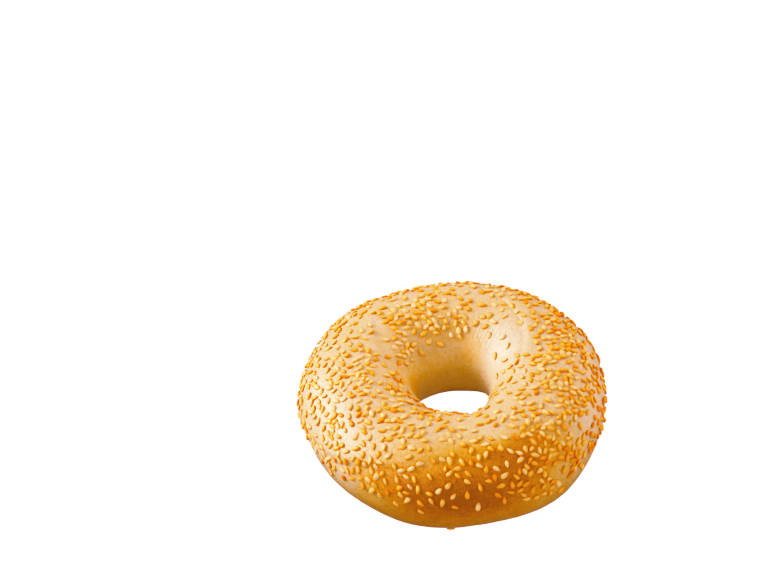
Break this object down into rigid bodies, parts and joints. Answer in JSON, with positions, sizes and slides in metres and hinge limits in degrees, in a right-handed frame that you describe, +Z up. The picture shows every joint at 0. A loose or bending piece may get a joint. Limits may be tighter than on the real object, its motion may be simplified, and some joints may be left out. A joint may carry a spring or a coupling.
{
  "type": "sesame bagel",
  "caption": "Baked ring-shaped bread roll with a round hole and a glossy golden crust covered in sesame seeds, lying flat.",
  "frame": {"origin": "on the surface that the bagel rests on, under the middle of its outline", "axes": "+Z up through the hole, +X to the right and +Y away from the camera of the picture"},
  "size_m": [0.1098, 0.1072, 0.0388],
  "materials": {
    "crust": "satin",
    "sesame": "satin"
  },
  "bodies": {
    "root": {"bagel": "crust"}
  },
  "joints": []
}
